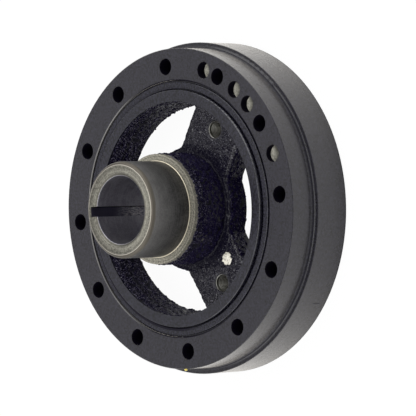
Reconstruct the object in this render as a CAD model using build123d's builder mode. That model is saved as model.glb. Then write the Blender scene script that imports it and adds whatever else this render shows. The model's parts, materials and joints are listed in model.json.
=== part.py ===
from build123d import *
from math import cos, radians, sin, tan
import os

# Harmonic balancer lying on its pulley side with the nose up.
# Millimetres. The origin is on the crankshaft axis at the bottom, +Z runs
# along the axis to the end of the nose, and +Y goes through the key slot.
# Three separate pieces: a cast hub, an elastomer ring bonded round it,
# and a heavy inertia ring round that.

# Hub
rim_mouth_diameter = 110.4
rim_wall = 5.9
rim_draft = 4.6
hub_rim_length = 19.65
hub_standout = 1.45
hub_edge_round = 0.6
hub_edge_chamfer = 0.35
window_draft = 5.8
pad_drop = 7.5
collar_wall = 4.3
spoke_width = 38.4
spoke_angles = (90.0, 211.3, 330.0)
window_corner_round = 4.0
pad_edge_round = 2.2
boss_root_round = 0.9
rim_root_round = 2.2
cast_stock = 0.1

# Elastomer between hub and ring
elastomer_thickness = 5.0
elastomer_lip_round = 0.5
elastomer_recess = 0.2
hub_gap_width = 0.4
ring_gap_width = 1.0
lip_gap_depth = 1.4
bond_clearance = 0.0
wave_depth = 1.3
wave_length = 13.0

# Inertia ring, its wall measured outwards from its bore
ring_wall = 16.45
ring_step = 3.175
ring_thickness = 35.56
ring_step_length = 14.7
step_root_round = 2.1
recess_widening = 5.4
ring_edge_chamfer = 0.25
ring_bore_chamfer = 0.25
ring_front_chamfer = 0.15

# Nose
nose_diameter = 49.1
nose_rise = 40.35
shoulder_rise = 14.4
shoulder_width = 3.65
shoulder_band_length = 2.35
nose_end_round = 2.05
nose_root_round = 0.55
bore_diameter = 34.925
bore_lead_width = 1.4
bore_lead_length = 0.8
key_width = 5.1
key_depth = 3.65
washer_seat_width = 3.2
washer_seat_depth = 3.2
seat_chamfer = 0.6

# Tapped holes for the pulley bolts, set in from the rim's inner wall
bolt_setback = 8.37
bolt_angles = (90.0, 210.0, 330.0)
bolt_hole_diameter = 8.5
bolt_hole_chamfer = 0.6

# Blind holes in the nose-side face of the ring, and the angle, depth and
# outward shift of each shallow hole drilled to balance it
hole_land = 7.4
face_hole_diameter = 8.7
face_hole_depth = 12.7
face_hole_count = 12
face_hole_angle = 2.7
balance_holes = ((-19.1, 5.2, 0.0), (-37.95, 4.3, 0.0), (-47.2, 4.4, 0.0), (-71.0, 3.5, 0.6))
drill_point_angle = 118.0

# Shared heights and radii
face_z = ring_thickness
hub_top = face_z + hub_standout
hub_bottom = hub_top - hub_rim_length
pad_z = face_z - pad_drop
shoulder_z = face_z + shoulder_rise
nose_top = face_z + nose_rise
bore_r = bore_diameter / 2
seat_r = bore_r + washer_seat_width
nose_r = nose_diameter / 2
band_r = nose_r + shoulder_width
boss_r = band_r + cast_stock
collar_r = boss_r + collar_wall
draft_slope = tan(radians(window_draft))
rim_mouth_r = rim_mouth_diameter / 2
rim_throat_r = rim_mouth_r - hub_rim_length * tan(radians(rim_draft))
hub_rim_r = rim_mouth_r + rim_wall
elastomer_in = hub_rim_r + bond_clearance
elastomer_out = elastomer_in + elastomer_thickness
ring_bore_r = elastomer_out + bond_clearance
recess_r = ring_bore_r + recess_widening
face_hole_r = ring_bore_r + hole_land
step_r = ring_bore_r + ring_wall
ring_r = step_r + ring_step
wave_z = (face_z + hub_bottom) / 2


def around(radius, angle):
    return (radius * cos(radians(angle)), radius * sin(radians(angle)))


def waved_wall(radius, z_from, z_to):
    # Profile lines up a wall whose middle bows inwards by wave_depth.
    way = 1 if z_to > z_from else -1
    low, high = wave_z - way * wave_length / 2, wave_z + way * wave_length / 2
    Line((radius, z_from), (radius, low))
    Spline(
        (radius, low), (radius - wave_depth, wave_z), (radius, high),
        tangents=[(0, way), (0, way), (0, way)],
    )
    Line((radius, high), (radius, z_to))


# Web: a collar round the boss and three spokes, drafted to the front
spoke_reach = rim_mouth_r + 0.5


def web_outline(height, inset):
    with BuildSketch(Plane.XY.offset(height)) as outline:
        Circle(collar_r - inset)
        for angle in spoke_angles:
            with Locations(Location((*around(spoke_reach / 2, angle), 0), (0, 0, angle))):
                Rectangle(spoke_reach, spoke_width - 2 * inset)
        corners = outline.vertices().filter_by(
            lambda v: (v.X ** 2 + v.Y ** 2) ** 0.5 < collar_r + 1
        )
        fillet(corners, window_corner_round + inset)
    return outline.sketch


with BuildPart() as web:
    add(web_outline(hub_bottom, 0))
    add(web_outline(pad_z, (pad_z - hub_bottom) * draft_slope))
    loft(ruled=True)
    pad_edges = web.edges().group_by(Axis.Z)[-1].filter_by(
        lambda e: (e.center().X ** 2 + e.center().Y ** 2) ** 0.5 < spoke_reach - 1
    )
    fillet(pad_edges, pad_edge_round)

# Hub body: web, rim, boss and nose as one casting
with BuildPart() as hub:
    add(web.part)
    # Rim with its drafted inner wall and waved outer wall
    with BuildSketch(Plane.XZ):
        with BuildLine():
            Polyline(
                (hub_rim_r - hub_edge_round, hub_top),
                (rim_mouth_r, hub_top),
                (rim_throat_r, hub_bottom),
                (hub_rim_r - hub_edge_chamfer, hub_bottom),
                (hub_rim_r, hub_bottom + hub_edge_chamfer),
            )
            waved_wall(hub_rim_r, hub_bottom + hub_edge_chamfer,
                       hub_top - hub_edge_round)
            RadiusArc(
                (hub_rim_r, hub_top - hub_edge_round),
                (hub_rim_r - hub_edge_round, hub_top),
                -hub_edge_round,
            )
        make_face()
    revolve(axis=Axis.Z)
    # Where the spokes run into the rim, the corners and the pad are rounded
    rim_joint = hub.edges().filter_by(
        lambda e: hub_bottom + 0.5 < e.center().Z < pad_z + 0.01
        and rim_throat_r < (e.center().X ** 2 + e.center().Y ** 2) ** 0.5
        < rim_mouth_r
    )
    fillet(rim_joint, rim_root_round)
    # Boss
    with BuildSketch(Plane.XY.offset(hub_bottom)):
        Circle(boss_r)
    extrude(amount=shoulder_z - shoulder_band_length - hub_bottom)
    root = hub.edges().filter_by(GeomType.CIRCLE).filter_by(
        lambda e: abs(e.center().Z - pad_z) < 0.01
        and abs(e.radius - boss_r) < 0.01
    )
    fillet(root, boss_root_round)

    # Turned shoulder band and nose
    with BuildSketch(Plane.XZ):
        with BuildLine():
            Polyline(
                (nose_r + nose_root_round, shoulder_z),
                (band_r, shoulder_z),
                (band_r, shoulder_z - shoulder_band_length),
                (0, shoulder_z - shoulder_band_length),
                (0, nose_top),
                (nose_r - nose_end_round, nose_top),
            )
            RadiusArc(
                (nose_r - nose_end_round, nose_top),
                (nose_r, nose_top - nose_end_round),
                nose_end_round,
            )
            Line((nose_r, nose_top - nose_end_round), (nose_r, shoulder_z + nose_root_round))
            RadiusArc(
                (nose_r, shoulder_z + nose_root_round),
                (nose_r + nose_root_round, shoulder_z),
                nose_root_round,
            )
        make_face()
    revolve(axis=Axis.Z)

    # Bore with its lead-in, and the seat for the crankshaft bolt washer
    with BuildSketch(Plane.XZ):
        with BuildLine():
            Polyline(
                (0, hub_bottom), (seat_r + seat_chamfer, hub_bottom),
                (seat_r, hub_bottom + seat_chamfer),
                (seat_r, hub_bottom + washer_seat_depth),
                (bore_r, hub_bottom + washer_seat_depth),
                (bore_r, nose_top - bore_lead_length),
                (bore_r + bore_lead_width, nose_top),
                (0, nose_top), close=True,
            )
        make_face()
    revolve(axis=Axis.Z, mode=Mode.SUBTRACT)

    # Key slot along the whole bore
    with BuildSketch(Plane.XY.offset(hub_bottom)):
        with Locations((0, (bore_r + key_depth) / 2)):
            Rectangle(key_width, bore_r + key_depth)
    extrude(amount=nose_top - hub_bottom, mode=Mode.SUBTRACT)

    # Tapped holes through the spokes, with a small chamfer at both ends
    with BuildSketch(Plane.XY.offset(hub_bottom)):
        with Locations(*(around(rim_throat_r - bolt_setback, angle) for angle in bolt_angles)):
            Circle(bolt_hole_diameter / 2)
    extrude(amount=pad_z - hub_bottom + 2, mode=Mode.SUBTRACT)
    mouths = hub.edges().filter_by(GeomType.CIRCLE).filter_by(
        lambda e: min(abs(e.center().Z - hub_bottom), abs(e.center().Z - pad_z)) < 0.01
        and abs(e.radius - bolt_hole_diameter / 2) < 0.01
    )
    chamfer(mouths, bolt_hole_chamfer)

# Elastomer ring, its rounded lips a little below the faces and a narrow gap
# beside each lip
elastomer_top = face_z - elastomer_recess
elastomer_bottom = hub_bottom + elastomer_recess
lip_in = elastomer_in + hub_gap_width
lip_out = elastomer_out - ring_gap_width


def lip_line(end_z, way):
    # Profile lines over one end, from the hub side to the ring side if way is 1.
    inner, outer = (lip_in, lip_out) if way > 0 else (lip_out, lip_in)
    first, last = (elastomer_in, elastomer_out) if way > 0 else (elastomer_out, elastomer_in)
    foot, brow = end_z - way * lip_gap_depth, end_z - way * elastomer_lip_round
    Polyline((first, foot), (inner, foot), (inner, brow))
    RadiusArc((inner, brow), (inner + way * elastomer_lip_round, end_z), elastomer_lip_round)
    Line((inner + way * elastomer_lip_round, end_z), (outer - way * elastomer_lip_round, end_z))
    RadiusArc((outer - way * elastomer_lip_round, end_z), (outer, brow), elastomer_lip_round)
    Polyline((outer, brow), (outer, foot), (last, foot))


with BuildPart() as elastomer_ring:
    with BuildSketch(Plane.XZ):
        with BuildLine():
            waved_wall(elastomer_in, elastomer_bottom + lip_gap_depth,
                       elastomer_top - lip_gap_depth)
            lip_line(elastomer_top, 1)
            waved_wall(elastomer_out, elastomer_top - lip_gap_depth,
                       elastomer_bottom + lip_gap_depth)
            lip_line(elastomer_bottom, -1)
        make_face()
    revolve(axis=Axis.Z)

# Inertia ring, stepped outside, with a recess for the pulley at the front
step_z = face_z - ring_step_length
with BuildPart() as inertia_ring:
    with BuildSketch(Plane.XZ):
        with BuildLine():
            Polyline(
                (ring_bore_r, face_z - ring_bore_chamfer),
                (ring_bore_r + ring_bore_chamfer, face_z),
                (step_r - ring_edge_chamfer, face_z),
                (step_r, face_z - ring_edge_chamfer),
                (step_r, step_z),
                (ring_r - ring_edge_chamfer, step_z),
                (ring_r, step_z - ring_edge_chamfer),
                (ring_r, ring_front_chamfer),
                (ring_r - ring_front_chamfer, 0),
                (recess_r + ring_front_chamfer, 0),
                (recess_r, ring_front_chamfer),
                (recess_r, hub_bottom),
                (ring_bore_r + ring_bore_chamfer, hub_bottom),
                (ring_bore_r, hub_bottom + ring_bore_chamfer),
            )
            waved_wall(ring_bore_r, hub_bottom + ring_bore_chamfer,
                       face_z - ring_bore_chamfer)
        make_face()
    revolve(axis=Axis.Z)
    step_root = inertia_ring.edges().filter_by(GeomType.CIRCLE).filter_by(
        lambda e: abs(e.center().Z - step_z) < 0.01 and abs(e.radius - step_r) < 0.01
    )
    fillet(step_root, step_root_round)

    # Holes in the face: an even row of deep ones and the shallow balance holes
    drill_r = face_hole_diameter / 2
    point_length = drill_r / tan(radians(drill_point_angle / 2))
    deep = [
        (face_hole_angle + i * 360 / face_hole_count, face_hole_depth, 0)
        for i in range(face_hole_count)
    ]
    for angle, depth, shift in deep + list(balance_holes):
        x, y = around(face_hole_r + shift, angle)
        with Locations((x, y, face_z)):
            Cylinder(drill_r, depth, align=(Align.CENTER, Align.CENTER, Align.MAX),
                     mode=Mode.SUBTRACT)
        with Locations((x, y, face_z - depth)):
            Cone(0, drill_r, point_length,
                 align=(Align.CENTER, Align.CENTER, Align.MAX), mode=Mode.SUBTRACT)

hub.part.label = "hub"
elastomer_ring.part.label = "elastomer_ring"
inertia_ring.part.label = "inertia_ring"

os.makedirs("parts", exist_ok=True)
export_step(hub.part, "parts/hub.step")
export_step(elastomer_ring.part, "parts/elastomer_ring.step")
export_step(inertia_ring.part, "parts/inertia_ring.step")
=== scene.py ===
import json

import bmesh
import bpy
import numpy as np
from mathutils import Matrix, Vector


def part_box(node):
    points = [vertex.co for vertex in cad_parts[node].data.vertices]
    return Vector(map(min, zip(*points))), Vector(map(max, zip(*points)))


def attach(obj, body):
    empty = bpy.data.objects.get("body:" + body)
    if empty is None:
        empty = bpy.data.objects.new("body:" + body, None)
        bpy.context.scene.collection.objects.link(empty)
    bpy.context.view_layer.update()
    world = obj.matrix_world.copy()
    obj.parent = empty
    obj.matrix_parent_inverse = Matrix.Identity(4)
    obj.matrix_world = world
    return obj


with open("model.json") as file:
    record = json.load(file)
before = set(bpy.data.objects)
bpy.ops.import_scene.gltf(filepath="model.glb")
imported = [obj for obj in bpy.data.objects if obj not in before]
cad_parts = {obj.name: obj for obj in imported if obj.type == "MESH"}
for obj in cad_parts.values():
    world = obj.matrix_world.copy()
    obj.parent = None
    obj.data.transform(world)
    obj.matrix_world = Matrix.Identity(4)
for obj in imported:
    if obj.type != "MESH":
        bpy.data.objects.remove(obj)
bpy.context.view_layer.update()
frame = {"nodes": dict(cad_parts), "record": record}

# A harmonic balancer lying on its pulley side, nose up. Metres, in the CAD
# frame: the origin is on the axis at the bottom, +Z runs to the end of the
# nose and +Y goes through the key slot.

MM = 0.001


def highest(node):
    """A CAD node's highest corner at rest, to the micrometre."""
    return [round(value, 6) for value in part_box(node)[1]]


# Sizes that the frame gives
mounts = {mount["name"]: mount["dims"] for mount in frame["record"]["mounts"]}
RING_R = highest("inertia_ring")[0]
FACE_Z = highest("inertia_ring")[2]
NOSE_TOP = highest("hub")[2]
BORE_R = mounts["bore"]["r_mm"] * MM
NOSE_R = mounts["nose_seal_surface"]["r_mm"] * MM
BOLT_R = mounts["pulley_bolts"]["pcd_mm"] / 2 * MM
BOLT_HOLE_R = mounts["pulley_bolts"]["hole_r_mm"] * MM

# Heights and radii inside the nodes, as the solids have them
HUB_TOP = FACE_Z + 1.45 * MM
HUB_BOTTOM = HUB_TOP - 19.65 * MM
PAD_Z = FACE_Z - 7.5 * MM
SHOULDER_Z = FACE_Z + 14.4 * MM
BAND_Z = SHOULDER_Z - 2.35 * MM
STEP_Z = FACE_Z - 14.7 * MM
BOSS_R = NOSE_R + 3.75 * MM
COLLAR_R = BOSS_R + 4.3 * MM
STEP_R = RING_R - 3.175 * MM
RING_BORE_R = STEP_R - 16.45 * MM
RIM_R = RING_BORE_R - 5.0 * MM
RIM_MOUTH_R = RIM_R - 5.9 * MM
KEY_WIDTH = 5.1 * MM
KEY_FLOOR_R = BORE_R + 3.65 * MM

# The bolt holes, and the drilled holes in the ring's face. Each balance hole has its
# angle in degrees, and its depth and outward shift in mm.
BOLT_ANGLES = (90.0, 210.0, 330.0)
FACE_HOLE_R = RING_BORE_R + 7.4 * MM
EVEN_HOLE_Z = FACE_Z - 12.7 * MM
DRILL_R = 4.35 * MM
BALANCE_HOLES = ((-19.1, 5.2, 0.0), (-37.95, 4.3, 0.0), (-47.2, 4.4, 0.0), (-71.0, 3.5, 0.6))

# Marks on this one balancer, by their angle round the axis or their middle
SEAM_ANGLE = -61.0
NICK_ANGLE = -129.6
SCRATCH_ANGLE = -127.2
SPOT_ANGLE = 180.7
DAB_MIDDLE = (-27.0 * MM, -27.4 * MM)

# Between these two Y values the edges round the elastomer go from dull black painted shade on the near side
# to a painted highlight on the far side
FAR_SIDE = (15 * MM, 45 * MM)


def around(radius, angle):
    """x and y of a place at this radius and angle round the axis, in degrees from +X."""
    turn = np.radians(angle)
    return radius * np.cos(turn), radius * np.sin(turn)


# Shader maths

class Socket:
    """A shader socket. Arithmetic on it adds Math nodes, and node() adds any other."""

    def __init__(self, tree, socket=None):
        self.tree, self.socket = tree, socket

    def node(self, kind, settings=None, sockets=None, output=0):
        """Adds a node, makes its settings, fills its sockets, returns one output."""
        made = self.tree.nodes.new(kind)
        for name, value in (settings or {}).items():
            setattr(made, name, value)
        for name, value in (sockets or {}).items():
            if isinstance(value, Socket):
                self.tree.links.new(value.socket, made.inputs[name])
            else:
                made.inputs[name].default_value = value
        return Socket(self.tree, made.outputs[output])

    def math(self, operation, *values):
        return self.node("ShaderNodeMath", {"operation": operation}, dict(enumerate(values)))

    def __add__(self, other):
        return self.math("ADD", self, other)

    def __sub__(self, other):
        return self.math("SUBTRACT", self, other)

    def __rsub__(self, other):
        return self.math("SUBTRACT", other, self)

    def __mul__(self, other):
        return self.math("MULTIPLY", self, other)

    def __pow__(self, other):
        return self.math("POWER", self, other)

    def __abs__(self):
        return self.math("ABSOLUTE", self)

    __radd__ = __add__
    __rmul__ = __mul__

    def step(self, low, high):
        """0 below low, 1 above high, smooth between."""
        return self.node("ShaderNodeMapRange", {"interpolation_type": "SMOOTHSTEP"},
                         {"Value": self, "From Min": low, "From Max": high})

    def fade(self, low, high):
        """1 below low, 0 above high, smooth between."""
        return 1 - self.step(low, high)

    def blend(self, low, high):
        """The colour low where this is 0 and high where it is 1."""
        return self.node("ShaderNodeMix", {"data_type": "RGBA"},
                         {"Factor": self, "A": low, "B": high}, output=2)

    def noise(self, scale, detail=2.0, rough=0.5):
        """Noise on this vector, scale cells per metre."""
        return self.node("ShaderNodeTexNoise", None,
                         {"Vector": self, "Scale": scale, "Detail": detail, "Roughness": rough})

    def split(self):
        """This vector's x, y and z."""
        made = self.node("ShaderNodeSeparateXYZ", None, {0: self})
        return [Socket(self.tree, out) for out in made.socket.node.outputs]

    def joined(self, y, z):
        """The vector with this as its x."""
        return self.node("ShaderNodeCombineXYZ", None, {0: self, 1: y, 2: z})

    def relief(self, depth):
        """A bump that stands depth metres higher where this is 1 than where it is 0."""
        return self.node("ShaderNodeBump", None, {"Height": self, "Distance": depth, "Strength": 1.0})


def length(x, y):
    """The length of the vector with these two parts."""
    return (x * x + y * y) ** 0.5


def start_material(name):
    """A new node material. Returns it with its shader and its Object coordinates."""
    made = bpy.data.materials.new(name)
    made.use_nodes = True
    shader = made.node_tree.nodes["Principled BSDF"]
    at = Socket(made.node_tree).node("ShaderNodeTexCoord", output="Object")
    return made, shader, at


def feed(shader, **values):
    """Sets or links the shader's sockets, with _ for the spaces in their names."""
    for name, value in values.items():
        socket = shader.inputs[name.replace("_", " ")]
        if isinstance(value, Socket):
            value.tree.links.new(value.socket, socket)
        else:
            socket.default_value = value


def lay_over(made, shader, share, other):
    """Shows another shader in place of the material's own, by this share from 0 to 1."""
    tree = made.node_tree
    own = Socket(tree, shader.outputs[0])
    mixed = share.node("ShaderNodeMixShader", None, {0: share, 1: own, 2: other})
    tree.links.new(mixed.socket, tree.nodes["Material Output"].inputs["Surface"])


def grey(value):
    return (value, value, value, 1.0)


# Colours of paint and metal
SMOOTH_PAINT = (0.0004, 0.0002, 0.0020, 1.0)
SMOOTH_PAINT_LIGHT = (0.0165, 0.0158, 0.0265, 1.0)
DULL_BLACK = (0.0020, 0.0010, 0.0060, 1.0)
CAST_PAINT = (0.0030, 0.0018, 0.0130, 1.0)
CAST_PAINT_LIGHT = (0.1150, 0.1080, 0.1420, 1.0)
SHADED_PAINT = (0.0065, 0.0045, 0.0210, 1.0)
LIT_LEVEL_PAINT = (0.0032, 0.0026, 0.0080, 1.0)
LIT_LEVEL_SPECKS = (0.1120, 0.1075, 0.1280, 1.0)
# A painted highlight on the ring's edge round the elastomer
EDGE_HIGHLIGHT = (0.16, 0.155, 0.15, 1.0)
SHOULDER_STEEL = (0.45, 0.43, 0.36, 1.0)
SHOULDER_STEEL_DULL = (0.13, 0.125, 0.105, 1.0)
ROOT_HIGHLIGHT = (0.68, 0.63, 0.50, 1.0)
END_STEEL = (0.295, 0.285, 0.243, 1.0)
END_STEEL_DULL = (0.075, 0.072, 0.061, 1.0)
ROUND_STEEL = (0.095, 0.086, 0.072, 1.0)
ROUND_HIGHLIGHT = (0.52, 0.49, 0.43, 1.0)
SEAL_STEEL = (0.24, 0.237, 0.230, 1.0)
SEAL_STEEL_STAIN_AND_SHADE = (0.040, 0.038, 0.040, 1.0)
BORE_METAL = (0.47, 0.46, 0.50, 1.0)
BORE_METAL_DARK = (0.30, 0.29, 0.33, 1.0)
SLOT_BLACK = (0.090, 0.085, 0.130, 1.0)
SLOT_GREY = (0.60, 0.58, 0.60, 1.0)
HOLE_METAL = (0.33, 0.325, 0.30, 1.0)
THREAD_METAL = (0.50, 0.49, 0.46, 1.0)
THREAD_ROOT_SHADE = (0.07, 0.07, 0.055, 1.0)
DRILLED = (0.40, 0.39, 0.34, 1.0)
DRILLED_DARK = (0.16, 0.155, 0.13, 1.0)
# Painted shade on the drilled bottoms of the balance holes
DRILLED_SHADE = (0.030, 0.029, 0.026, 1.0)
CREAM_PAINT = (0.72, 0.69, 0.60, 1.0)
CREAM_PAINT_THIN = (0.36, 0.34, 0.28, 1.0)
YELLOW_PAINT = (0.64, 0.54, 0.12, 1.0)
YELLOW_PAINT_THIN = (0.48, 0.38, 0.07, 1.0)


def in_a_spot(at, place, half):
    """1 inside the soft-edged oval of these half sizes round a place, 0 outside."""
    off = at.node("ShaderNodeVectorMath", {"operation": "SUBTRACT"}, {0: at, 1: place})
    shares = at.node("ShaderNodeVectorMath", {"operation": "DIVIDE"}, {0: off, 1: half})
    far = at.node("ShaderNodeVectorMath", {"operation": "LENGTH"}, {0: shares}, output="Value")
    return far.fade(0.8, 1.2)


def in_balance_holes(x, y, z):
    """1 on the drilled bottoms of the shallow balance holes, 0 elsewhere, and beside
    it 1 where painted shade darkens them, from near their middle to their -Y side."""
    bottoms, hole_shades = [], []
    above_even_holes = z.step(EVEN_HOLE_Z + 2.14 * MM, EVEN_HOLE_Z + 3.14 * MM)
    for angle, depth, shift in BALANCE_HOLES:
        cx, cy = around(FACE_HOLE_R + shift * MM, angle)
        low = FACE_Z - depth * MM
        bottom = length(x - cx, y - cy).fade(DRILL_R, DRILL_R + 0.1 * MM) * \
            z.fade(low, low + 0.2 * MM) * above_even_holes
        bottoms.append(bottom)
        # Painted shade over each bottom's -Y side
        hole_shades.append(bottom * (cy - y).step(-4.0 * MM, -0.8 * MM))
    return sum(bottoms), sum(hole_shades)


def from_bolts(x, y):
    """The distances from the axes of the three bolt holes."""
    axes = [around(BOLT_R, angle) for angle in BOLT_ANGLES]
    return [length(x - cx, y - cy) for cx, cy in axes]


def smooth_paint(at, clouds=None):
    """Colour of the satin paint on turned faces, finely specked, and uneven with clouds."""
    specks = at.noise(1100.0, 2.0).step(0.35, 0.65)
    share = specks if clouds is None else clouds * 0.3 + specks * 0.8 - 0.1
    return share.blend(SMOOTH_PAINT, SMOOTH_PAINT_LIGHT)


def dulled(made, shader, at, share):
    """Lays a dull blue-black over a material, by this share from 0 to 1."""
    dull = at.node("ShaderNodeBsdfPrincipled", None,
                   {"Base Color": DULL_BLACK, "Roughness": 0.6, "Specular IOR Level": 0.15})
    lay_over(made, shader, share, dull)


def ring_paint():
    """Satin black paint on turned iron, bare metal in the shallow holes."""
    made, shader, at = start_material("satin_black_paint")
    x, y, z = at.split()
    radius = length(x, y)
    clouds = at.noise(260.0, 3.0, 0.6)
    peel = at.noise(1900.0, 2.0)
    streaks = at.noise(900.0, 3.0, 0.7)
    bare, hole_shade = in_balance_holes(x, y, z)
    # The drilled bottoms darken towards their -Y side with painted shade
    drilled = (hole_shade * 0.85).blend(streaks.step(0.25, 0.75).blend(DRILLED_DARK, DRILLED), DRILLED_SHADE)
    # A painted highlight lightens the edge round the elastomer on the far side, less so on the -X half
    edge = radius.fade(RING_BORE_R + 0.35 * MM, RING_BORE_R + 0.5 * MM) * \
        z.step(FACE_Z - 0.5 * MM, FACE_Z - 0.4 * MM)
    far = y.step(*FAR_SIDE)
    far_edge_highlight = edge * far * (0.55 + x.step(-42 * MM, -20 * MM) * 0.45)
    feed(shader,
         Base_Color=bare.blend(far_edge_highlight.blend(smooth_paint(at, clouds), EDGE_HIGHLIGHT), drilled),
         Metallic=bare,
         IOR=1.39,
         Roughness=0.22 + clouds * 0.12 + bare * 0.22,
         Sheen_Weight=0.52, Sheen_Roughness=0.40, Sheen_Tint=(1.0, 0.95, 0.87, 1.0),
         Normal=(peel * (1 - bare) * 0.04 + streaks * bare * 0.3).relief(0.3 * MM))
    # Dull black down the holes, partly their paint and partly painted shade; painted
    #     shade along the bottom and bore edges and in the step's corner; and one short scratch in the wall
    holes = abs(radius - FACE_HOLE_R).fade(4.9 * MM, 5.3 * MM) * (1 - bare) * \
        z.step(EVEN_HOLE_Z - 2.36 * MM, EVEN_HOLE_Z - 1.36 * MM) * \
        z.fade(FACE_Z - 0.4 * MM, FACE_Z - 0.1 * MM)
    foot = z.fade(0.35 * MM, 0.8 * MM) * radius.step(RING_R - 0.4 * MM, RING_R - 0.2 * MM)
    scratch = in_a_spot(at, (*around(RING_R, SCRATCH_ANGLE), 6.8 * MM), (0.45 * MM, 0.35 * MM, 3.0 * MM))
    from_corner = length(radius - (STEP_R + 0.62 * MM), z - (STEP_Z + 0.62 * MM))
    corner_shade = from_corner.fade(0.15 * MM, 0.4 * MM)
    dulled(made, shader, at, holes + foot * 0.8 + scratch * 0.6 + corner_shade * 0.8 + edge * (1 - far))
    return made


def cast_finish():
    """Black paint over the rough casting: glossy on the grains, dull in the pits, with
    pale specks. Level places take a greyer lit copy of the paint as painted light, and the foot of the boss
    a shaded copy with fewer specks and less shine as painted shade."""
    made, shader, at = start_material("black_paint_on_casting")
    x, y, z = at.split()
    radius = length(x, y)
    grain = at.noise(2000.0, 1.0, 0.5)
    speck = at.noise(1700.0, 1.0, 0.5)
    # Painted shade on the boss's foot: fewer pale specks, a shaded copy of the paint and less shine
    shaded = radius.fade(BOSS_R + 2.7 * MM, BOSS_R + 6.7 * MM) * z.fade(39 * MM, 46 * MM)
    rim = radius.step(RIM_MOUTH_R - 7.2 * MM, RIM_MOUTH_R - 4.2 * MM)
    # Painted light on level places: a greyer, less blue lit copy of the paint and its specks
    level = abs(z - (PAD_Z + 0.2 * MM)).fade(0.6 * MM, 1.2 * MM)
    pale = (speck * 0.8 + grain * 0.2 + rim * 0.035 - level * 0.02).step(0.56, 0.66) * (1 - shaded * 0.6)
    dark = level.blend(shaded.blend(CAST_PAINT, SHADED_PAINT), LIT_LEVEL_PAINT)
    light = level.blend(CAST_PAINT_LIGHT, LIT_LEVEL_SPECKS)
    # The hollow at the boss's foot, the collar's wall and grains on its edge shine less
    from_hollow = length(radius - (BOSS_R + 0.3 * MM), z - (PAD_Z + 0.3 * MM))
    hollow = from_hollow.fade(0.5 * MM, 1.3 * MM)
    wall = z.fade(PAD_Z - 0.6 * MM, PAD_Z - 0.1 * MM) * radius.fade(COLLAR_R + 0.9 * MM, COLLAR_R + 1.9 * MM)
    edge = radius.step(BOSS_R + 1.3 * MM, BOSS_R + 1.9 * MM) * \
        radius.fade(COLLAR_R + 0.9 * MM, COLLAR_R + 1.4 * MM) * z.fade(PAD_Z + 0.4 * MM, PAD_Z + 0.6 * MM)
    shine = 0.08 + grain.step(0.32, 0.68) * (0.66 - shaded * 0.20)
    kept = (1 - hollow * 0.6) * (1 - wall * 0.45) * (1 - edge * speck.fade(0.47, 0.53) * 0.8)
    feed(shader,
         Base_Color=pale.blend(dark, light),
         Roughness=0.8, Specular_IOR_Level=0.0,
         Coat_Weight=shine * kept, Coat_IOR=1.60, Coat_Roughness=0.22,
         Normal=(grain * 0.7 + speck * 0.3).relief(0.7 * MM))
    return made


def end_steel(y, radius, turned):
    """The nose's end: a flat that is darker round the bore and towards +Y, then a painted
    highlight line and the duller round of the edge."""
    rounded = radius.step(NOSE_R - 1.95 * MM, NOSE_R - 1.75 * MM)
    # A painted highlight: a bright line where the round begins
    line = rounded * radius.fade(NOSE_R - 1.7 * MM, NOSE_R - 1.5 * MM)
    round_the_bore = radius.fade(BORE_R + 0.9 * MM, BORE_R + 1.3 * MM) * 0.65
    flat = (turned * 0.85 + 0.20 - y.step(-20 * MM, 20 * MM) * 0.32).blend(END_STEEL_DULL, END_STEEL)
    flat = round_the_bore.blend(flat, END_STEEL_DULL)
    return line.blend(rounded.blend(flat, ROUND_STEEL), ROUND_HIGHLIGHT)


def key_slot_steel(x, y, z):
    """The key slot: black, with grey broach marks in its lower part and painted shade along its +X edge."""
    marks = (x * 3.0).joined(y, z * 0.4).noise(900.0, 3.0, 0.7)
    floor = (z.fade(46 * MM, 61 * MM) * marks.step(0.40, 0.60)).blend(SLOT_BLACK, SLOT_GREY)
    # Painted shade along the slot's +X side wall
    return x.step(KEY_WIDTH / 2 - 0.45 * MM, KEY_WIDTH / 2 - 0.1 * MM).blend(floor, grey(0.02))


def in_key_slot(x, y, z, radius):
    """1 on the walls and floor of the key slot, 0 elsewhere."""
    return abs(x).fade(KEY_WIDTH / 2 + 0.02 * MM, KEY_WIDTH / 2 + 0.08 * MM) * y.step(0.0, 1 * MM) * \
        radius.fade(KEY_FLOOR_R + 0.19 * MM, KEY_FLOOR_R + 0.39 * MM) * \
        z.fade(NOSE_TOP - 0.06 * MM, NOSE_TOP - 0.02 * MM)


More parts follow.
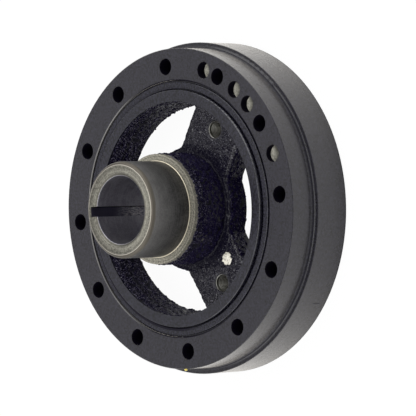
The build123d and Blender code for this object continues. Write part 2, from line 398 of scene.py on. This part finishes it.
def hub_finish():
    """Smooth black paint on the hub's turned faces, bare metal on nose, shoulder and bore."""
    made, shader, at = start_material("hub_paint_and_turned_metal")
    x, y, z = at.split()
    radius = length(x, y)
    rings = radius.joined(z, 0.0).noise(1500.0, 3.0, 0.7)
    grain = at.noise(1100.0, 3.0, 0.7)
    turned = (rings * 0.45 + grain * 0.55).step(0.36, 0.64)
    stain = at.noise(180.0, 3.0, 0.6)
    clouds = at.noise(260.0, 3.0, 0.6)
    # Where the bare metals show
    nose = z.step(BAND_Z - 0.1 * MM, BAND_Z + 0.1 * MM)
    wall = z.step(SHOULDER_Z + 0.5 * MM, SHOULDER_Z + 0.7 * MM)
    end = z.step(NOSE_TOP - 2.4 * MM, NOSE_TOP - 1.4 * MM)
    root = radius.fade(NOSE_R + 0.15 * MM, NOSE_R + 0.4 * MM)
    bore = radius.fade(BORE_R + 0.06 * MM, BORE_R + 0.16 * MM)
    slot = in_key_slot(x, y, z, radius)
    bolts = sum(off.fade(BOLT_HOLE_R + 0.05 * MM, BOLT_HOLE_R + 0.25 * MM) for off in from_bolts(x, y))
    metal = nose.math("MINIMUM", nose + bore + slot + bolts, 1.0)
    # The seal's running surface is duller than the shoulder, stained, and darkens towards it as painted
    # shade
    height = z.step(SHOULDER_Z, NOSE_TOP)
    seal = (height * 0.75 + stain * 0.6 + turned * 0.3 - 0.25).blend(SEAL_STEEL_STAIN_AND_SHADE, SEAL_STEEL)
    # A painted highlight makes the shoulder bright at the root of the nose
    shoulder = root.blend(turned.blend(SHOULDER_STEEL_DULL, SHOULDER_STEEL), ROOT_HIGHLIGHT)
    bare = wall.blend(shoulder, end.blend(seal, end_steel(y, radius, turned)))
    bare = bore.blend(bare, (stain * 0.7 + turned * 0.3).step(0.3, 0.7).blend(BORE_METAL_DARK, BORE_METAL))
    bare = slot.blend(bare, key_slot_steel(x, y, z))
    bare = bolts.blend(bare, HOLE_METAL)
    feed(shader,
         Base_Color=metal.blend(smooth_paint(at, clouds), bare),
         Metallic=metal,
         IOR=1.48,
         Roughness=0.14 + clouds * 0.12 + metal * 0.22 + nose * end * 0.08 + nose * (1 - wall) * 0.20,
         Normal=(rings * metal + grain * 0.25).relief(0.10 * MM))
    return made


def rubber_finish():
    """Elastomer painted over with the ring, with a seam across it and a nick. Painted shade
    makes its outer edge dull black on the near side, and its inner edge on the far side."""
    made, shader, at = start_material("painted_elastomer")
    x, y, z = at.split()
    radius = length(x, y)
    mottle = at.noise(500.0, 3.0, 0.6)
    cosine, sine = around(1.0, SEAM_ANGLE)
    beside_seam = abs(y * cosine - x * sine)
    along_seam = x * cosine + y * sine
    seam = beside_seam.fade(0.12 * MM, 0.30 * MM) * along_seam.step(0.0, 1 * MM)
    nick = in_a_spot(at, (*around(RIM_R + 0.7 * MM, NICK_ANGLE), FACE_Z), (0.7 * MM, 0.7 * MM, 1.2 * MM))
    feed(shader,
         Base_Color=(seam * 0.9 + nick).blend(smooth_paint(at), grey(0.001)),
         IOR=1.40,
         Roughness=0.20 + mottle * 0.15 + seam * 0.4,
         Normal=mottle.relief(0.05 * MM))
    # Painted shade in the crevices along the elastomer's edges
    outer = radius.step(RING_BORE_R - 0.65 * MM, RING_BORE_R - 0.35 * MM) * y.fade(*FAR_SIDE)
    inner = radius.fade(RIM_R + 1.7 * MM, RIM_R + 1.9 * MM) * y.step(-20 * MM, 5 * MM) * \
        (1 - x.step(-35 * MM, 10 * MM) * 0.7)
    dulled(made, shader, at, outer + inner)
    return made


def thread_finish():
    """Bare metal threads, bright on the crests and darkened at the roots by painted shade."""
    made, shader, at = start_material("bare_thread_metal")
    x, y, _ = at.split()
    # Painted shade at the thread roots
    root = sum(off.step(BOLT_HOLE_R - 0.36 * MM, BOLT_HOLE_R - 0.10 * MM) * off.fade(8 * MM, 9 * MM)
               for off in from_bolts(x, y))
    feed(shader, Base_Color=root.blend(THREAD_METAL, THREAD_ROOT_SHADE), Roughness=0.35, Metallic=1.0)
    return made


def dabbed_paint(name, thin, thick):
    """Dabbed-on paint, lighter where it lies thick."""
    made, shader, at = start_material(name)
    feed(shader, Base_Color=at.noise(900.0, 2.0).step(0.35, 0.6).blend(thin, thick), Roughness=0.35)
    return made


def finish_node(name, material):
    """Gives a CAD node its finish."""
    node = frame["nodes"][name]
    node.data.materials.clear()
    node.data.materials.append(material)


# Meshes

def ease(value, low, high):
    """0 below low, 1 above high, 3t^2 - 2t^3 between."""
    t = np.clip((value - low) / (high - low), 0, 1)
    return t * t * (3 - 2 * t)


LATTICE = 64


def soft_noise(points, cell, seed):
    """Smooth noise from -1 to 1 at the points, with bumps about a cell across.
    Seeded values sit on a lattice of that cell, repeated every 64 cells, and
    each point takes its cube's corners in the shares of 3t^2 - 2t^3 along x, y and z."""
    lattice = np.random.default_rng(seed).uniform(-1, 1, (LATTICE, LATTICE, LATTICE))
    low = np.floor(points / cell).astype(int)
    part = points / cell - low
    part = part * part * (3 - 2 * part)
    total = np.zeros(len(points))
    for corner in np.ndindex(2, 2, 2):
        share = np.prod(np.where(corner, part, 1 - part), axis=1)
        total += share * lattice[tuple(((low + corner) % LATTICE).T)]
    return total


def merge_points(mesh, distance):
    """Makes one point of those that lie this close together."""
    shape = bmesh.new()
    shape.from_mesh(mesh)
    bmesh.ops.remove_doubles(shape, verts=shape.verts, dist=distance)
    shape.to_mesh(mesh)
    shape.free()


def add_object(name, data):
    made = bpy.data.objects.new(name, data)
    bpy.context.scene.collection.objects.link(made)
    return made


def add_piece(name, points, faces, material, smooth=True, poles=False):
    """A mesh piece from numpy points and four-cornered faces, riding on the object.
    With poles the points that fall together at a pole become one."""
    mesh = bpy.data.meshes.new(name)
    mesh.vertices.add(len(points))
    mesh.vertices.foreach_set("co", np.asarray(points, np.float32).ravel())
    mesh.loops.add(faces.size)
    mesh.loops.foreach_set("vertex_index", faces.astype(np.int32).ravel())
    mesh.polygons.add(len(faces))
    mesh.polygons.foreach_set("loop_start", np.arange(0, faces.size, 4, dtype=np.int32))
    mesh.update(calc_edges=True)
    if poles:
        merge_points(mesh, 1e-7)
    mesh.validate()
    if smooth:
        mesh.shade_smooth()
    mesh.materials.append(material)
    piece = add_object(name, mesh)
    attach(piece, "root")


def grid_faces(rows, columns, closed=False):
    """Corner numbers of the faces between neighbours on a grid of points. A closed grid
    goes on from its last row to its first."""
    row, column = np.meshgrid(np.arange(rows if closed else rows - 1), np.arange(columns - 1),
                              indexing="ij")
    here = row * columns + column
    beyond = (row + 1) % rows * columns + column
    return np.stack([here, beyond, beyond + 1, here + 1], -1).reshape(-1, 4)


def remeshed_hub(cell):
    """Points, outward normals and faces of the hub, in even cells."""
    mesh = frame["nodes"]["hub"].data.copy()
    merge_points(mesh, 1e-6)
    solid = add_object("hub_cells", mesh)
    cells = solid.modifiers.new("cells", "REMESH")
    cells.mode, cells.voxel_size = "VOXEL", cell
    even = bpy.data.meshes.new_from_object(solid.evaluated_get(bpy.context.evaluated_depsgraph_get()))
    points = np.empty(len(even.vertices) * 3, np.float32)
    even.vertices.foreach_get("co", points)
    normals = np.empty(len(even.vertices) * 3, np.float32)
    even.vertex_normals.foreach_get("vector", normals)
    corners = np.empty(len(even.loops), np.int32)
    even.loops.foreach_get("vertex_index", corners)
    assert len(corners) == 4 * len(even.polygons)
    bpy.data.objects.remove(solid)
    bpy.data.meshes.remove(even)
    bpy.data.meshes.remove(mesh)
    return points.reshape(-1, 3).astype(float), normals.reshape(-1, 3).astype(float), corners.reshape(-1, 4)


CAST_CELL = 0.45 * MM


def make_cast_skin():
    """The rough cast surface of web, collar, boss and rim, a little proud of the hub.

    Each point of the even hub mesh with the normal n moves by
    cover * (0.16 + relief) * m - (1 - cover) * 0.4 * n mm, where m is n without any
    part that points down, so nothing hangs below the turned underside. The relief is two
    noises with bumps 1.5 and 0.85 mm across, stronger on walls than on level places and
    strongest at their lower edge. Cover falls from 1 to 0 at the skin's borders:
    below the turned band, where a noise makes the edge ragged, below the rim's
    mouth, round each bolt hole and at the underside."""
    points, normals, faces = remeshed_hub(CAST_CELL)
    radius = np.hypot(points[:, 0], points[:, 1])
    z = points[:, 2]
    # How far inside all the borders each point lies, in mm
    ragged = 0.55 * soft_noise(points * (1, 1, 0.3), 0.9 * MM, 3) + 0.25 * soft_noise(points, 0.5 * MM, 4)
    below_band = (BAND_Z - z) / MM + 0.55 + ragged
    on_rim = radius > RIM_MOUTH_R - 5.2 * MM
    below_mouth = np.where(on_rim, (HUB_TOP - z) / MM - 0.7 + 0.3 * ragged, np.inf)
    off_underside = 3.5 * (normals[:, 2] + 0.8)
    borders = [below_band, below_mouth, off_underside]
    for angle in BOLT_ANGLES:
        cx, cy = around(BOLT_R, angle)
        off_wall = np.hypot(points[:, 0] - cx, points[:, 1] - cy) - BOLT_HOLE_R
        borders.append(off_wall / MM - 0.85 + 0.5 * ragged)
    inside = np.min(borders, axis=0)
    cast = (radius > NOSE_R + 0.45 * MM) & (radius < RIM_MOUTH_R + 0.4 * MM) & (inside > -0.6)
    used, faces = np.unique(faces[cast[faces].all(axis=1)], return_inverse=True)
    points, normals, inside = points[used], normals[used], inside[used]
    uneven = 0.25 * soft_noise(points, 1.5 * MM, 11) + 0.17 * soft_noise(points, 0.85 * MM, 12)
    low = 1 - ease(points[:, 2], HUB_BOTTOM, HUB_BOTTOM + 3 * MM)
    relief = uneven * (1.6 - 0.9 * np.abs(normals[:, 2]) + 1.4 * low)
    cover = ease(inside, -0.1, 0.35)
    not_down = normals * (1, 1, 0) + np.maximum(normals, 0) * (0, 0, 1)
    raised = not_down * (cover * (0.16 + relief) * MM)[:, None]
    sunk = normals * ((1 - cover) * 0.4 * MM)[:, None]
    add_piece("cast_skin", points + raised - sunk, faces.reshape(-1, 4), cast_finish())


def make_threads(angle, material):
    """The thread of one bolt hole, a ridge wound down its wall.

    At turn t and across one pitch c from 0 to 1 the ridge lies at radius
    R - rise * (fade(t) * (tooth(c) + 0.1) - 0.1), where tooth is 1 on the crest and
    -0.1 at the foot, which lies in the metal of the wall."""
    pitch, rise = 1.058 * MM, 0.42 * MM
    turns, steps, run_out = 9.6, 460, 0.6
    t = np.linspace(0, turns, steps)[:, None]
    across = np.array([0.02, 0.40, 0.5, 0.62, 0.98])
    tooth = np.array([-0.1, 0.95, 1.0, 0.95, -0.1])
    fade = ease(t, 0, run_out) * (1 - ease(t, turns - run_out, turns))
    x, y = around(BOLT_HOLE_R - rise * (fade * (tooth + 0.1) - 0.1), 360 * t)
    z = PAD_Z - 0.55 * MM - pitch * (t + across)
    cx, cy = around(BOLT_R, angle)
    points = np.stack([cx + x, cy + y, z], -1).reshape(-1, 3)
    faces = grid_faces(steps, across.size)
    add_piece("bolt_thread_%d" % angle, points, faces, material, smooth=False)


def make_paint_dab(material):
    """A thick dab of cream paint on one spoke, a crowned disc with a scalloped edge.

    At angle a and share s of the way out, the point is s * reach(a) from the middle and
    0.75 (1 - s^6) - 0.25 mm above the spoke, and lumps of two noises, up to 0.18 and
    0.12 mm high, fade out as 1 - s^4."""
    columns, rows = 60, 16
    a = np.linspace(0, 2 * np.pi, columns, endpoint=False)[:, None]
    s = np.linspace(0, 1, rows)
    reach = (3.75 + 0.22 * np.sin(7 * a + 1.0) + 0.18 * np.sin(11 * a) + 0.2 * np.sin(3 * a + 2.0)) * MM
    x = DAB_MIDDLE[0] + s * reach * np.cos(a)
    y = DAB_MIDDLE[1] + s * reach * np.sin(a)
    flat = np.stack([x, y, np.zeros_like(x)], -1).reshape(-1, 3)
    lumps = 0.18 * soft_noise(flat, 1.3 * MM, 21) + 0.12 * soft_noise(flat, 0.7 * MM, 22)
    height = 0.75 * (1 - s ** 6) - 0.25 + lumps.reshape(x.shape) * (1 - s ** 4)
    points = np.stack([x, y, PAD_Z + height * MM], -1)
    faces = grid_faces(columns, rows, closed=True)
    add_piece("paint_dab", points.reshape(-1, 3), faces, material, poles=True)


def make_paint_spot(material):
    """A small drop of yellow paint on the edge of the ring's face.

    A rounded drop: at latitude b and angle a the point is the middle plus
    (0.6 cos b cos a, 1.1 cos b sin a, 0.5 sin b) mm."""
    b = np.linspace(-np.pi / 2, np.pi / 2, 13)
    a = np.linspace(0, 2 * np.pi, 28, endpoint=False)[:, None]
    middle = (*around(STEP_R + 0.25 * MM, SPOT_ANGLE), FACE_Z - 0.3 * MM)
    drop = np.broadcast_arrays(0.6 * np.cos(b) * np.cos(a), 1.1 * np.cos(b) * np.sin(a), 0.5 * np.sin(b))
    points = (np.stack(drop, -1) * MM + middle).reshape(-1, 3)
    faces = grid_faces(a.size, b.size, closed=True)
    add_piece("paint_spot", points, faces, material, poles=True)


# Studio

def add_lamp(name, place, power):
    """A soft round lamp that shines on the origin."""
    data = bpy.data.lights.new(name, "AREA")
    data.shape, data.size, data.energy = "DISK", 1.2, power
    lamp = add_object(name, data)
    lamp.location = place
    lamp.rotation_mode = "QUATERNION"
    lamp.rotation_quaternion = (-Vector(place)).to_track_quat("-Z", "Y")


def make_floor():
    """A wide pale floor that the camera sees white, with the object's shadow kept. It
    lies just under the ring's front face, so that the two don't flicker."""
    half, low = 6.0, -0.02 * MM
    corners = [(-half, -half, low), (half, -half, low), (half, half, low), (-half, half, low)]
    mesh = bpy.data.meshes.new("floor")
    mesh.from_pydata(corners, [], [(0, 1, 2, 3)])
    made, shader, at = start_material("pale_floor")
    feed(shader, Base_Color=grey(0.90), Roughness=0.9)
    seen = at.node("ShaderNodeLightPath", output="Is Camera Ray")
    glow = at.node("ShaderNodeEmission", None, {"Color": grey(1.0), "Strength": 1.0})
    lay_over(made, shader, seen * 0.96, glow)
    mesh.materials.append(made)
    add_object("floor", mesh)


def light_world():
    """A plain pale world, white to the camera."""
    world = bpy.data.worlds.new("studio")
    bpy.context.scene.world = world
    world.use_nodes = True
    start = Socket(world.node_tree)
    seen = start.node("ShaderNodeLightPath", output="Is Camera Ray")
    soft = start.node("ShaderNodeBackground", None, {"Color": grey(1.0), "Strength": 0.79})
    white = start.node("ShaderNodeBackground", None, {"Color": grey(1.0), "Strength": 1.0})
    mixed = start.node("ShaderNodeMixShader", None, {0: seen, 1: soft, 2: white})
    world.node_tree.links.new(mixed.socket, world.node_tree.nodes["World Output"].inputs["Surface"])


def set_camera():
    """The photograph's camera: a long lens, 45 degrees above the floor, rolled a quarter turn."""
    place = (-0.04043, -1.15779, 1.16746)
    ahead = Vector((0.02472, 0.70784, -0.70594)).normalized()
    up = Vector((0.99859, -0.05064, -0.01581))
    up = (up - ahead * up.dot(ahead)).normalized()
    data = bpy.data.cameras.new("camera")
    data.lens, data.sensor_width = 272.63, 36.0
    data.clip_start, data.clip_end = 0.05, 60.0
    camera = add_object("camera", data)
    turn = Matrix((ahead.cross(up), up, -ahead)).transposed().to_4x4()
    camera.matrix_world = Matrix.Translation(place) @ turn
    bpy.context.scene.camera = camera


finish_node("inertia_ring", ring_paint())
finish_node("elastomer_ring", rubber_finish())
finish_node("hub", hub_finish())
make_cast_skin()
thread_metal = thread_finish()
for bolt_angle in BOLT_ANGLES:
    make_threads(bolt_angle, thread_metal)
make_paint_dab(dabbed_paint("cream_paint", CREAM_PAINT_THIN, CREAM_PAINT))
make_paint_spot(dabbed_paint("yellow_paint", YELLOW_PAINT_THIN, YELLOW_PAINT))

make_floor()
light_world()
add_lamp("overhead", (0.0, 0.1, 1.5), 10.0)
add_lamp("side_far", (1.1, 0.2, 0.9), 10.0)
add_lamp("side_near", (-1.1, 0.2, 0.9), 8.0)
set_camera()
bpy.context.scene.view_settings.view_transform = "Standard"
